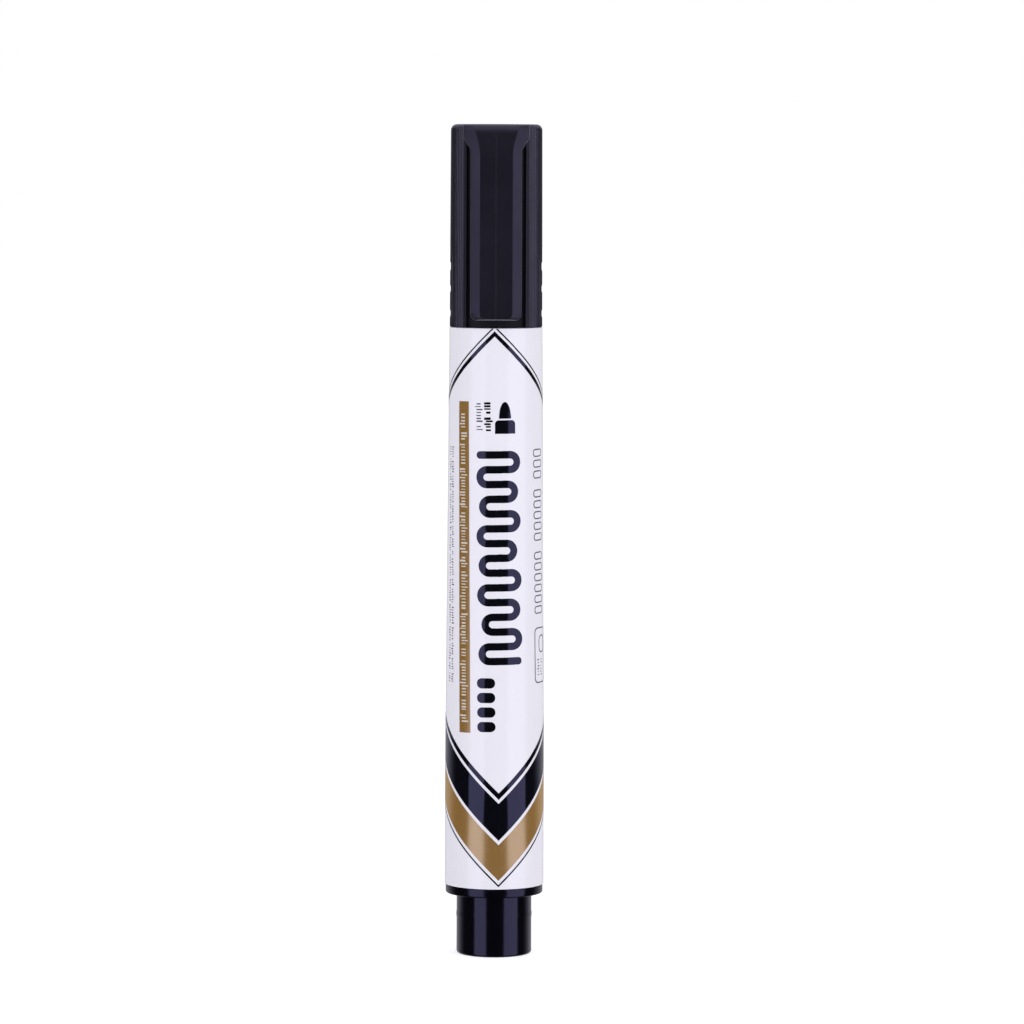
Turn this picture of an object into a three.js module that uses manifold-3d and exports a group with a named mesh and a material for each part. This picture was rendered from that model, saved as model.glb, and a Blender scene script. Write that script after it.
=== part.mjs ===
// Whiteboard marker with a pull-off cap, pocket clip and bullet nib.
// Millimetres, +Z along the marker from the rear stub to the cap, origin at the centre
// of the stub's flat end face. The clip is on the -Y side.
import * as THREE from 'three';
import { mergeVertices } from 'three/addons/utils/BufferGeometryUtils.js';
import Module from 'manifold-3d';

const wasm = await Module();
wasm.setup();

// ---- driving dimensions ----
// Every turned piece has the same number of sides in the same phase, so a small gap is enough.
const turnedSides = 48;
const roundSteps = 4; // straight steps in a rounded edge
const tipSteps = 6; // and in the nib's tip
const runningGap = 0.05; // radial gap between coaxial pieces
const edgeBreak = 0.4; // chamfer on moulded end edges
const cutMargin = 1; // a cutting solid runs past what it cuts

// The cap fits both the neck at the front and the stub at the rear, so they share one radius.
const socketRadius = 6.275;
const beadProud = 0.06; // snap bead on the neck and on the stub
const beadWidth = 1.2;
const capClearance = 0.065; // bead to cap bore

// Barrel, measured over its printed film.
const barrelLength = 93.05;
const barrelRearRadius = 8.285;
const barrelMidRadius = 8.2;
const barrelMidHeight = 31; // above the barrel's rear end
const barrelFrontRadius = 7.735;
const barrelWall = 1.5;
const filmThickness = 0.12;
const filmInset = 0.05; // barrel shows this much past each end of the film

// Rear plug.
const stubLength = 10.2;
const stubBeadHeight = 6.6;
const stubEndWall = 1.4;
const collarInset = 0.155; // collar stands this far inside the film's edge
const collarThickness = 1.5;
const skirtLength = 7.3;
const plugWall = 1.25; // side wall of the rear plug and of the front section's plug
const reservoirSeat = 0.55; // rim of the skirt under the reservoir's core

// Front section, the nib holder.
const frontPlugLength = 10;
const neckLength = 10;
const neckBeadHeight = 4; // above the barrel's front face
const neckRoof = 1.5;
const shoulderHeight = 2;
const landLength = 5; // the cylinder that the inner cap seals on
const noseLength = 5.5;
const noseTaper = 1.25; // land radius less nose tip radius
const noseWall = 0.75; // round the nib at the nose tip

// Nib and ink reservoir.
const nibRadius = 2.2;
const nibProud = 4; // nib tip past the nose
const nibTipLength = 3.6; // the rounded bullet end
const nibTailDepth = 7; // nib tail inside the reservoir
const tailRoom = 0.5; // empty end of the tail's hole
const wrapClearance = 0.35; // reservoir wrap to barrel bore
const wrapThickness = 0.15;
const reservoirEndGap = 0.1;

// Cap. Its length follows from the nib, the room over it and the walls.
const capSeatGap = 0.05; // cap mouth to barrel front face
const capWall = 1.295;
const capDraft = 0.125; // mouth radius less top radius
const capTopThickness = 1.5;
const capEdgeRadius = 1;
const mouthChamfer = 0.3;

// Inner cap, the liner that seals round the nose.
const linerWall = 0.8;
const linerRoom = 0.7; // liner to cap, above the flange
const linerEndGap = 0.3;
const nibRoom = 4.45; // nib tip to the liner's closed end
const flangeThickness = 1.6;
const flangeLift = 0.3; // flange above the neck's shoulder

// Clip and the shallow pocket behind it.
const clipWidth = 8.4;
const clipFlatWidth = 5.4; // flat middle of the clip's front
const clipThickness = 1.55;
const clipSideThickness = 0.6;
const clipShoulderWidth = 0.4;
const clipShoulderDepth = 0.4;
const clipStandOff = 0.7; // clip's inner face to pocket floor
const clipEndHeight = 1.25; // clip's free end above the cap mouth
const clipEndRadius = 1.1;
const clipRootGap = 0.3; // at the line where the clip bends
const rootHeight = 3.8; // fixed root of the clip, down from the cap top
const rootFlare = 1.2; // root is wider than the clip by this on each side
const rootTopRadius = 1.5;
const rootSink = 1.2; // root runs into the cap wall
const pocketSideRoom = 0.7; // beside the clip
const pocketWall = 0.65; // cap wall left behind the pocket
const pocketTop = 2.6; // pocket ends this far below the cap top
const nubWidth = 4;
const nubHeight = 2;
const nubAboveEnd = 1.4; // nub above the clip's free end
const nubGap = 0.15; // nub to pocket floor

// ---- heights that follow ----
const barrelRear = stubLength + collarThickness;
const barrelFront = barrelRear + barrelLength;
const neckTop = barrelFront + neckLength;
const landBottom = neckTop + shoulderHeight;
const landTop = landBottom + landLength;
const noseTip = landTop + noseLength;
const nibTip = noseTip + nibProud;
const frontPlugEnd = barrelFront - frontPlugLength;
const skirtTop = barrelRear + skirtLength;
const reservoirBottom = skirtTop + reservoirEndGap;
const reservoirTop = frontPlugEnd - reservoirEndGap;
const capMouth = barrelFront + capSeatGap;
const linerCeiling = nibTip + nibRoom;
const linerTop = linerCeiling + linerWall;
const capCeiling = linerTop + linerEndGap;
const capTop = capCeiling + capTopThickness;
const flangeBottom = landBottom + flangeLift;
const flangeTop = flangeBottom + flangeThickness;
const clipEnd = capMouth + clipEndHeight;
const clipRoot = capTop - rootHeight;

// ---- radii that follow ----
const nibHole = nibRadius + runningGap;
const noseTipRadius = nibHole + noseWall;
const landRadius = noseTipRadius + noseTaper;
const collarRadius = barrelRearRadius - collarInset;
const linerBore = landRadius + runningGap;
const linerRadius = linerBore + linerWall;
const capBore = socketRadius + beadProud + capClearance;
const capMouthRadius = capBore + capWall;
const capTopRadius = capMouthRadius - capDraft;
const capUpperBore = linerRadius + linerRoom;
const pocketFloor = capBore + pocketWall;
const clipInner = pocketFloor + clipStandOff;
const clipOuter = clipInner + clipThickness;
const wrapRadius = barrelBore(reservoirTop) - wrapClearance;
const coreRadius = wrapRadius - wrapThickness - runningGap;

// Radius over the film at height z: two straight tapers that meet at barrelMidHeight.
function filmRadius(z) {
  const up = z - barrelRear;
  if (up < barrelMidHeight) {
    return barrelRearRadius + (barrelMidRadius - barrelRearRadius) * up / barrelMidHeight;
  }
  const rest = (up - barrelMidHeight) / (barrelLength - barrelMidHeight);
  return barrelMidRadius + (barrelFrontRadius - barrelMidRadius) * rest;
}

function barrelBore(z) {
  return filmRadius(z) - filmThickness - runningGap - barrelWall;
}

// ---- materials ----
function plastic(color, roughness) {
  return new THREE.MeshStandardMaterial({ color, roughness, metalness: 0 });
}
const whitePlastic = plastic(0xe6e4f0, 0.3);
const printFilm = plastic(0xf0eef6, 0.2);
const blackSatin = plastic(0x1c1a24, 0.45);
const blackGloss = plastic(0x121118, 0.3);
const linerPlastic = plastic(0xdfe2e4, 0.5);
const clearFilm = plastic(0xc9d4dc, 0.2);
const fibre = plastic(0xd8d6cf, 0.95);
const inkedFibre = plastic(0x17161c, 0.9);

// ---- shape helpers ----
// Turned solid about Z from [radius, height] points: up the outside and down the inside.
function turned(profile) {
  const points = profile.map(([radius, z]) => new THREE.Vector2(radius, z));
  const geometry = new THREE.LatheGeometry(points, turnedSides);
  return geometry.rotateX(Math.PI / 2);
}

// Snap bead on a cylinder of the given radius, centred at height z.
function bead(radius, z) {
  const foot = beadWidth / 2;
  const crest = beadWidth / 6;
  return [[radius, z - foot], [radius + beadProud, z - crest],
    [radius + beadProud, z + crest], [radius, z + foot]];
}

// Quarter ellipse from [radius, z] to [radius - across, z + up].
function roundOver(radius, z, across, up, steps) {
  const points = [];
  for (let i = 0; i <= steps; i += 1) {
    const angle = (Math.PI / 2) * (i / steps);
    points.push([radius - across * (1 - Math.cos(angle)), z + up * Math.sin(angle)]);
  }
  return points;
}

// Straight solid: an outline of [a, b] points pushed along Z from low to high.
function pushed(outline, low, high) {
  const shape = new THREE.Shape(outline.map(([a, b]) => new THREE.Vector2(a, b)));
  const geometry = new THREE.ExtrudeGeometry(shape, { depth: high - low, bevelEnabled: false });
  return geometry.translate(0, 0, low);
}

function block(lowX, highX, lowY, highY, lowZ, highZ) {
  return pushed([[lowX, lowY], [highX, lowY], [highX, highY], [lowX, highY]], lowZ, highZ);
}

function solid(geometry) {
  const bare = geometry.clone();
  bare.deleteAttribute('normal');
  bare.deleteAttribute('uv');
  const merged = mergeVertices(bare);
  const vertProperties = Float32Array.from(merged.attributes.position.array);
  const triVerts = Uint32Array.from(merged.index.array);
  return new wasm.Manifold(new wasm.Mesh({ numProp: 3, vertProperties, triVerts }));
}

function geometryOf(manifold) {
  const mesh = manifold.getMesh();
  const geometry = new THREE.BufferGeometry();
  geometry.setAttribute('position', new THREE.BufferAttribute(mesh.vertProperties, 3));
  geometry.setIndex(new THREE.BufferAttribute(mesh.triVerts, 1));
  geometry.computeVertexNormals();
  return geometry;
}

const marker = new THREE.Group();

function addPiece(name, geometry, material) {
  const mesh = new THREE.Mesh(geometry, material);
  mesh.name = name;
  marker.add(mesh);
}

// ---- barrel: moulded tapered tube, open at both ends ----
function barrel() {
  const skin = filmThickness + runningGap;
  const heights = [barrelRear, barrelRear + barrelMidHeight, barrelFront];
  const outside = heights.map((z) => [filmRadius(z) - skin, z]);
  const inside = heights.map((z) => [barrelBore(z), z]).reverse();
  return turned([...outside, ...inside, outside[0]]);
}

// ---- label film: printed sleeve over the whole barrel ----
function labelFilm() {
  const heights = [barrelRear + filmInset, barrelRear + barrelMidHeight, barrelFront - filmInset];
  const outside = heights.map((z) => [filmRadius(z), z]);
  const inside = heights.map((z) => [filmRadius(z) - filmThickness, z]).reverse();
  return turned([...outside, ...inside, outside[0]]);
}

// ---- rear plug: stub with a closed end, collar, and a skirt pressed into the barrel ----
function rearPlug() {
  const skirtAt = (z) => barrelBore(z) - runningGap;
  const walled = Math.min(socketRadius, skirtAt(skirtTop)) - plugWall;
  const cavity = Math.min(walled, coreRadius - reservoirSeat);
  return turned([
    [0, 0],
    [socketRadius - edgeBreak, 0],
    [socketRadius, edgeBreak],
    ...bead(socketRadius, stubBeadHeight),
    [socketRadius, stubLength],
    [collarRadius, stubLength],
    [collarRadius, barrelRear],
    [skirtAt(barrelRear), barrelRear],
    [skirtAt(skirtTop - edgeBreak), skirtTop - edgeBreak],
    [skirtAt(skirtTop) - edgeBreak, skirtTop],
    [cavity, skirtTop],
    [cavity, stubEndWall],
    [0, stubEndWall],
  ]);
}

// ---- ink reservoir: fibre core with a hole for the nib's tail, in a thin film wrap ----
function inkReservoir() {
  const holeFloor = reservoirTop - nibTailDepth - tailRoom;
  return turned([
    [0, reservoirBottom],
    [coreRadius, reservoirBottom],
    [coreRadius, reservoirTop],
    [nibHole, reservoirTop],
    [nibHole, holeFloor],
    [0, holeFloor],
  ]);
}

function reservoirWrap() {
  const inner = wrapRadius - wrapThickness;
  return turned([
    [wrapRadius, reservoirBottom],
    [wrapRadius, reservoirTop],
    [inner, reservoirTop],
    [inner, reservoirBottom],
    [wrapRadius, reservoirBottom],
  ]);
}

// ---- front section: plug in the barrel, neck for the cap, sealing land and nose ----
function frontSection() {
  const plugAt = (z) => barrelBore(z) - runningGap;
  const cavity = Math.min(socketRadius, plugAt(barrelFront)) - plugWall;
  const start = [plugAt(frontPlugEnd) - edgeBreak, frontPlugEnd];
  return turned([
    start,
    [plugAt(frontPlugEnd + edgeBreak), frontPlugEnd + edgeBreak],
    [plugAt(barrelFront), barrelFront],
    [socketRadius, barrelFront],
    ...bead(socketRadius, barrelFront + neckBeadHeight),
    [socketRadius, neckTop],
    [landRadius, landBottom],
    [landRadius, landTop],
    [noseTipRadius, noseTip],
    [nibHole, noseTip],
    [nibHole, neckTop - neckRoof],
    [cavity, neckTop - neckRoof],
    [cavity, frontPlugEnd],
    start,
  ]);
}

// ---- nib: acrylic fibre rod with a bullet tip, its tail in the reservoir ----
function nib() {
  const tail = reservoirTop - nibTailDepth;
  const tip = roundOver(nibRadius, nibTip - nibTipLength, nibRadius, nibTipLength, tipSteps);
  tip[tip.length - 1][0] = 0;
  return turned([[0, tail], [nibRadius - edgeBreak, tail], [nibRadius, tail + edgeBreak], ...tip]);
}

// ---- inner cap: liner cup, mouth down, with a flange held in the cap's bore ----
function innerCap() {
  const flangeRadius = capBore - runningGap;
  return turned([
    [0, linerCeiling],
    [linerBore, linerCeiling],
    [linerBore, flangeBottom],
    [flangeRadius, flangeBottom],
    [flangeRadius, flangeTop],
    [linerRadius, flangeTop],
    [linerRadius, linerTop],
    [0, linerTop],
  ]);
}

// ---- clip section, seen from above: flat middle, sloped shoulders and thin sides ----
function clipSection(flare) {
  const side = clipWidth / 2 + flare;
  const flat = clipFlatWidth / 2 + flare;
  const half = [
    [side, -clipInner],
    [side, -clipInner - clipSideThickness],
    [side - clipShoulderWidth, -clipInner - clipSideThickness - clipShoulderDepth],
    [flat, -clipOuter],
  ];
  const mirrored = half.map(([x, y]) => [-x, y]).reverse();
  return [...half, ...mirrored];
}

// ---- cap shell: turned cup, mouth down, with the clip's pocket and fixed root ----
function capShell() {
  const cup = solid(turned([
    [0, capCeiling],
    [capUpperBore, capCeiling],
    [capUpperBore, flangeTop + runningGap],
    [capBore, flangeTop + runningGap],
    [capBore, capMouth + mouthChamfer],
    [capBore + mouthChamfer, capMouth],
    [capMouthRadius, capMouth],
    ...roundOver(capTopRadius, capTop - capEdgeRadius, capEdgeRadius, capEdgeRadius, roundSteps),
    [0, capTop],
  ]));
  const ringLow = capMouth - cutMargin;
  const ringHigh = capTop - pocketTop;
  const ring = solid(turned([
    [clipOuter, ringLow],
    [clipOuter, ringHigh],
    [pocketFloor, ringHigh],
    [pocketFloor, ringLow],
    [clipOuter, ringLow],
  ]));
  const reach = clipWidth / 2 + pocketSideRoom;
  const front = solid(block(-reach, reach, -clipOuter - cutMargin, 0, ringLow, ringHigh));
  const rootLow = clipRoot + clipRootGap;
  const rootHalf = clipWidth / 2 + rootFlare;
  const rootPlan = [...clipSection(rootFlare), [-rootHalf, 0], [rootHalf, 0]];
  const straightRoot = solid(pushed(rootPlan, rootLow, capTop));
  const coreSide = capTopRadius - rootSink;
  const coreLow = rootLow - cutMargin;
  const coreHigh = capTop + cutMargin;
  const core = solid(turned([[0, coreLow], [coreSide, coreLow], [coreSide, coreHigh], [0, coreHigh]]));
  // Side view of the root, as [-y, z], with its outer top corner rounded over.
  const rootRound = roundOver(clipOuter, capTop - rootTopRadius, rootTopRadius, rootTopRadius,
    roundSteps);
  const rootSide = [[0, rootLow], [clipOuter, rootLow], ...rootRound, [0, capTop]];
  const acrossX = pushed(rootSide, -clipWidth, clipWidth).rotateX(Math.PI / 2).rotateZ(-Math.PI / 2);
  const root = straightRoot.intersect(solid(acrossX)).subtract(core);
  return geometryOf(cup.subtract(ring.intersect(front)).add(root));
}

// ---- clip: spring arm hanging from the root, with a rounded free end and a nub ----
function capClip() {
  const arm = solid(pushed(clipSection(0), clipEnd, clipRoot));
  const halfWidth = clipWidth / 2;
  const right = roundOver(halfWidth, clipEnd + clipEndRadius, clipEndRadius, -clipEndRadius,
    roundSteps);
  const left = right.map(([x, z]) => [-x, z]);
  const outline = [[-halfWidth, clipRoot], ...left, ...right.reverse(), [halfWidth, clipRoot]];
  const face = pushed(outline, 0, clipOuter + cutMargin).rotateX(Math.PI / 2);
  const nubLow = clipEnd + nubAboveEnd;
  const nub = solid(block(-nubWidth / 2, nubWidth / 2, -clipInner - clipThickness / 2,
    -pocketFloor - nubGap, nubLow, nubLow + nubHeight));
  return geometryOf(arm.intersect(solid(face)).add(nub));
}

addPiece('barrel', barrel(), whitePlastic);
addPiece('label_film', labelFilm(), printFilm);
addPiece('rear_plug', rearPlug(), blackGloss);
addPiece('ink_reservoir', inkReservoir(), fibre);
addPiece('reservoir_wrap', reservoirWrap(), clearFilm);
addPiece('front_section', frontSection(), blackGloss);
addPiece('nib', nib(), inkedFibre);
addPiece('inner_cap', innerCap(), linerPlastic);
addPiece('cap_shell', capShell(), blackSatin);
addPiece('cap_clip', capClip(), blackSatin);

export default marker;
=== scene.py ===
import random
from math import atan2, ceil, cos, degrees, hypot, pi, radians, sin, sqrt, tan

import bmesh
import bpy
from mathutils import Matrix, Vector


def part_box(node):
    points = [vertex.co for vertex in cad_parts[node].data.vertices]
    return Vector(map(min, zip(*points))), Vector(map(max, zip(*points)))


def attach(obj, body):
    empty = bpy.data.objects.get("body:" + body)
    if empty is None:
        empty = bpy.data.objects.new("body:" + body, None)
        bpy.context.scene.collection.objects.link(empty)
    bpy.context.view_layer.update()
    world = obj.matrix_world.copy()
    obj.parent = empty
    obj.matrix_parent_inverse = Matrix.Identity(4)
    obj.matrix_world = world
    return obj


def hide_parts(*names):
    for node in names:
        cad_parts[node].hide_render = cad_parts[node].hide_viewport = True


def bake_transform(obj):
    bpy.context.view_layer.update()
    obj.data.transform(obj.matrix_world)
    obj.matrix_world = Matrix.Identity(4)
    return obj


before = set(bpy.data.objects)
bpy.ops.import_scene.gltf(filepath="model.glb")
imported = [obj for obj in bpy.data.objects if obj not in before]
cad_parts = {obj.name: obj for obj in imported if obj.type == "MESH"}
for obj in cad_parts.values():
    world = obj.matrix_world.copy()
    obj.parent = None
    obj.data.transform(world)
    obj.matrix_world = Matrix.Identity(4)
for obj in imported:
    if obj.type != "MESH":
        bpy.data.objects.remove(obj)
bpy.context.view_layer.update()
MM = 0.001

# ---- camera ----
# It stands in front of the clip, level with the middle of the cap, and looks slightly down.
camera_place = Vector((2.77, -840, 134.5)) * MM
camera_down = radians(4.125)
camera_roll = radians(0.216)
camera_data = bpy.data.cameras.new("camera")
camera_data.sensor_width = 36
camera_data.lens = 177.8
camera = bpy.data.objects.new("camera", camera_data)
bpy.context.scene.collection.objects.link(camera)
camera.matrix_world = (
    Matrix.Translation(camera_place)
    @ Matrix.Rotation(pi / 2 - camera_down, 4, "X")
    @ Matrix.Rotation(camera_roll, 4, "Z")
)
bpy.context.scene.camera = camera
bpy.context.scene.view_settings.view_transform = "Standard"


# ---- studio: pale floor, pale backdrop, two tall softboxes ----
# The backdrop is the world: plain white to the eye, and brightest behind the marker.
# The floor is a wide matt disc that glows a little, so that it ends in the backdrop unseen,
# and it is clear from below, so that the end of the stub can be seen.
def begin_nodes(owner):
    """Clears the nodes of a material or world. Gives its tree and a maker of nodes."""
    owner.use_nodes = True
    owner.node_tree.nodes.clear()
    return owner.node_tree, node_maker(owner.node_tree)


def node_maker(tree):
    """Gives a function that adds a node, sets its own values and feeds its inputs by name."""
    def add(kind, values=None, **inputs):
        node = tree.nodes.new(kind)
        for name, value in (values or {}).items():
            setattr(node, name, value)
        for name, source in inputs.items():
            feed(tree, node, name.replace("_", " "), source)
        return node
    return add


def feed(tree, node, name, source):
    """Links a node or one of its outputs to an input, or sets the input to a plain value."""
    socket = next(s for s in node.inputs if s.name == name and s.enabled)
    if isinstance(source, bpy.types.Node):
        source = next(s for s in source.outputs if s.enabled)
    if isinstance(source, bpy.types.NodeSocket):
        tree.links.new(source, socket)
    else:
        socket.default_value = source


eye_white = (1.0, 1.0, 1.0, 1.0)
fill_white = (0.96, 0.955, 1.0, 1.0)
fill_left = 0.54
fill_right = 0.66
mirror_front = 0.03
mirror_back = 0.55
mirror_above = 0.75
backdrop_from = 0.2
backdrop_full = 0.85
ceiling_from = 0.35
ceiling_full = 0.85
world = bpy.data.worlds.new("studio")
bpy.context.scene.world = world
tree, add = begin_nodes(world)
path = add("ShaderNodeLightPath")
direction = add("ShaderNodeTexCoord")
axes = add("ShaderNodeSeparateXYZ", Vector=direction.outputs["Generated"])
smooth = {"interpolation_type": "SMOOTHSTEP"}
behind = add("ShaderNodeMapRange", smooth, Value=axes.outputs["Y"], From_Min=backdrop_from,
             From_Max=backdrop_full, To_Min=mirror_front, To_Max=mirror_back)
above = add("ShaderNodeMapRange", smooth, Value=axes.outputs["Z"], From_Min=ceiling_from,
            From_Max=ceiling_full, To_Min=0.0, To_Max=mirror_above)
mirrored = add("ShaderNodeMath", {"operation": "MAXIMUM"})
tree.links.new(behind.outputs["Result"], mirrored.inputs[0])
tree.links.new(above.outputs["Result"], mirrored.inputs[1])
fill = add("ShaderNodeMapRange", Value=axes.outputs["X"], From_Min=-1.0, From_Max=1.0,
           To_Min=fill_left, To_Max=fill_right)
lighting = add("ShaderNodeMix", {"data_type": "FLOAT"}, Factor=path.outputs["Is Glossy Ray"],
               A=fill, B=mirrored)
strength = add("ShaderNodeMix", {"data_type": "FLOAT"}, Factor=path.outputs["Is Camera Ray"],
               A=lighting, B=1.0)
tint = add("ShaderNodeMix", {"data_type": "RGBA"}, Factor=path.outputs["Is Camera Ray"],
           A=fill_white, B=eye_white)
glow = add("ShaderNodeBackground", Color=tint, Strength=strength)
add("ShaderNodeOutputWorld", Surface=glow)

softbox_height = 2.0
softbox_distance = 1.0
softbox_middle = 0.1


def softbox(name, from_angle, to_angle, radiance, colour):
    """A tall panel that fills these angles as the marker sees it, left of the camera negative."""
    middle = radians((from_angle + to_angle) / 2)
    width = 2 * softbox_distance * tan(radians(to_angle - from_angle) / 2)
    data = bpy.data.lights.new(name, "AREA")
    data.shape = "RECTANGLE"
    data.size = width
    data.size_y = softbox_height
    data.energy = radiance * pi * width * softbox_height
    data.color = colour
    lamp = bpy.data.objects.new(name, data)
    bpy.context.scene.collection.objects.link(lamp)
    lamp.location = (sin(middle) * softbox_distance, -cos(middle) * softbox_distance,
                     softbox_middle)
    lamp.rotation_euler = (pi / 2, 0, middle)
    lamp.visible_camera = False


softbox("softbox_left", -62, -24, 1.1, (0.82, 0.82, 1.0))
softbox("softbox_right", 31, 77, 1.1, (0.84, 0.82, 1.0))

floor_radius = 6
floor_drop = 0.02
bpy.ops.object.select_all(action="DESELECT")
bpy.ops.mesh.primitive_circle_add(vertices=96, radius=floor_radius, fill_type="NGON",
                                  location=(0, 0, -floor_drop * MM))
floor = bpy.context.object
floor.name = "floor"
floor.visible_glossy = False
floor_paint = bpy.data.materials.new("floor_paint")
tree, add = begin_nodes(floor_paint)
place = add("ShaderNodeTexCoord")
speckle = add("ShaderNodeTexNoise", Vector=place.outputs["Object"], Scale=40.0)
shade = add("ShaderNodeMapRange", Value=speckle.outputs["Fac"], To_Min=0.84, To_Max=0.87)
shader = add("ShaderNodeBsdfPrincipled", Base_Color=shade, Roughness=0.9,
             Emission_Color=eye_white, Emission_Strength=0.62)
facing = add("ShaderNodeNewGeometry")
one_sided = add("ShaderNodeMixShader", Fac=facing.outputs["Backfacing"])
tree.links.new(shader.outputs["BSDF"], one_sided.inputs[1])
tree.links.new(add("ShaderNodeBsdfTransparent").outputs["BSDF"], one_sided.inputs[2])
add("ShaderNodeOutputMaterial", Surface=one_sided)
floor.data.materials.append(floor_paint)


# ---- barrel ----
# White polypropylene tube, injection moulded with a slight taper so that it leaves the mould.
# The printed film covers all of it but a hair's breadth at each end.
def pick(test, kind="verts"):
    """Selects only the vertices or faces, in edit mode, whose place in millimetres passes."""
    bpy.ops.mesh.select_mode(type="VERT" if kind == "verts" else "FACE")
    bpy.ops.mesh.select_all(action="DESELECT")
    mesh = bmesh.from_edit_mesh(bpy.context.object.data)
    for item in getattr(mesh, kind):
        spot = item.co if kind == "verts" else item.calc_center_median()
        if test(*(spot / MM)):
            item.select = True
    mesh.select_flush_mode()
    bmesh.update_edit_mesh(bpy.context.object.data)


def on_ring(radius, height, slack=0.001):
    """A test for pick: vertices at this radius and height."""
    return lambda x, y, z: abs(z - height) < slack and abs(hypot(x, y) - radius) < slack


def turned(name, outline, sides=144):
    """Draws a circle up through (radius, height) steps in millimetres, as on a lathe.
    An end with no radius is closed, and an outline that ends where it began is a ring."""
    rings = [step for step in outline if step[0] > 0]
    bpy.ops.object.select_all(action="DESELECT")
    bpy.ops.mesh.primitive_circle_add(vertices=sides, radius=rings[0][0] * MM,
                                      location=(0, 0, rings[0][1] * MM))
    piece = bpy.context.object
    piece.name = piece.data.name = name
    bpy.ops.object.transform_apply()
    bpy.ops.object.mode_set(mode="EDIT")
    bpy.ops.mesh.select_mode(type="VERT")
    bpy.ops.mesh.select_all(action="SELECT")
    for (r_from, z_from), (r_to, z_to) in zip(rings, rings[1:]):
        bpy.ops.mesh.extrude_edges_move(
            TRANSFORM_OT_translate={"value": (0, 0, (z_to - z_from) * MM)})
        bpy.ops.transform.resize(value=(r_to / r_from, r_to / r_from, 1),
                                 center_override=(0, 0, z_to * MM))
    for tip, ring in ((outline[0], rings[0]), (outline[-1], rings[-1])):
        if tip[0] == 0:
            pick(on_ring(*ring))
            if abs(tip[1] - ring[1]) > 0.001:
                bpy.ops.mesh.extrude_edges_move(
                    TRANSFORM_OT_translate={"value": (0, 0, (tip[1] - ring[1]) * MM)})
                bpy.ops.mesh.merge(type="CENTER")
            else:
                bpy.ops.mesh.edge_face_add()
    bpy.ops.mesh.select_all(action="SELECT")
    bpy.ops.mesh.remove_doubles(threshold=0.0005 * MM)
    bpy.ops.mesh.select_all(action="SELECT")
    bpy.ops.mesh.normals_make_consistent(inside=False)
    bpy.ops.object.mode_set(mode="OBJECT")
    return piece


def apply(piece, name, kind, **values):
    """Adds a modifier to the piece and applies it."""
    modifier = piece.modifiers.new(name, kind)
    for key, value in values.items():
        setattr(modifier, key, value)
    bpy.context.view_layer.objects.active = piece
    bpy.ops.object.modifier_apply(modifier=modifier.name)


def finish_edges(piece, width, corner=28, smooth=38, clamp=True):
    """Rounds edges sharper than the corner, by a width in millimetres, and smooths the rest."""
    bpy.ops.object.select_all(action="DESELECT")
    piece.select_set(True)
    bpy.context.view_layer.objects.active = piece
    if width:
        apply(piece, "edge_break", "BEVEL", width=width * MM, segments=3, limit_method="ANGLE",
              angle_limit=radians(corner), use_clamp_overlap=clamp)
    bpy.ops.object.shade_smooth_by_angle(angle=radians(smooth))
    apply(piece, "even_shade", "WEIGHTED_NORMAL", keep_sharp=True)


def moulded_skin_group():
    """The skin of a moulded plastic: fine grain, slow changes of gloss, and faint rub marks
    along the marker. Puts out a roughness, a bump height and a mask of the rub marks."""
    group = bpy.data.node_groups.new("moulded_skin", "ShaderNodeTree")
    for name, value in (("Grain", 9000.0), ("Least Roughness", 0.3), ("Most Roughness", 0.4)):
        socket = group.interface.new_socket(name=name, in_out="INPUT",
                                            socket_type="NodeSocketFloat")
        socket.default_value = value
    for name in ("Roughness", "Height", "Rubs"):
        group.interface.new_socket(name=name, in_out="OUTPUT", socket_type="NodeSocketFloat")
    add = node_maker(group)
    given = add("NodeGroupInput")
    place = add("ShaderNodeTexCoord")
    grain = add("ShaderNodeTexNoise", Vector=place.outputs["Object"],
                Scale=given.outputs["Grain"], Detail=3.0)
    drift = add("ShaderNodeTexNoise", Vector=place.outputs["Object"], Scale=160.0, Detail=4.0)
    gloss = add("ShaderNodeMapRange", Value=drift.outputs["Fac"], From_Min=0.3, From_Max=0.7,
                To_Min=given.outputs["Least Roughness"], To_Max=given.outputs["Most Roughness"])
    lengthwise = add("ShaderNodeMapping", Vector=place.outputs["Object"], Scale=(1.0, 1.0, 0.04))
    marks = add("ShaderNodeTexNoise", Vector=lengthwise, Scale=7000.0, Detail=2.0)
    rubs = add("ShaderNodeMapRange", Value=marks.outputs["Fac"], From_Min=0.66, From_Max=0.8)
    rough = add("ShaderNodeMath", {"operation": "MULTIPLY_ADD"})
    group.links.new(rubs.outputs["Result"], rough.inputs[0])
    rough.inputs[1].default_value = 0.12
    group.links.new(gloss.outputs["Result"], rough.inputs[2])
    result = add("NodeGroupOutput", Roughness=rough, Height=grain.outputs["Fac"], Rubs=rubs)
    return group


moulded_skin = moulded_skin_group()


def moulded_plastic(name, colour, rubbed, rough, grain=9000.0, bump=0.12, **constants):
    """A moulded plastic: its colour, its colour where it is rubbed, and its roughness range."""
    material = bpy.data.materials.new(name)
    tree, add = begin_nodes(material)
    skin = add("ShaderNodeGroup", {"node_tree": moulded_skin}, Grain=grain,
               Least_Roughness=rough[0], Most_Roughness=rough[1])
    mix = add("ShaderNodeMix", {"data_type": "RGBA"}, Factor=skin.outputs["Rubs"],
              A=(*colour, 1), B=(*rubbed, 1))
    relief = add("ShaderNodeBump", Strength=bump, Distance=0.00003, Height=skin.outputs["Height"])
    shader = add("ShaderNodeBsdfPrincipled", Base_Color=mix, Roughness=skin.outputs["Roughness"],
                 Normal=relief, **constants)
    add("ShaderNodeOutputMaterial", Surface=shader)
    return material


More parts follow.
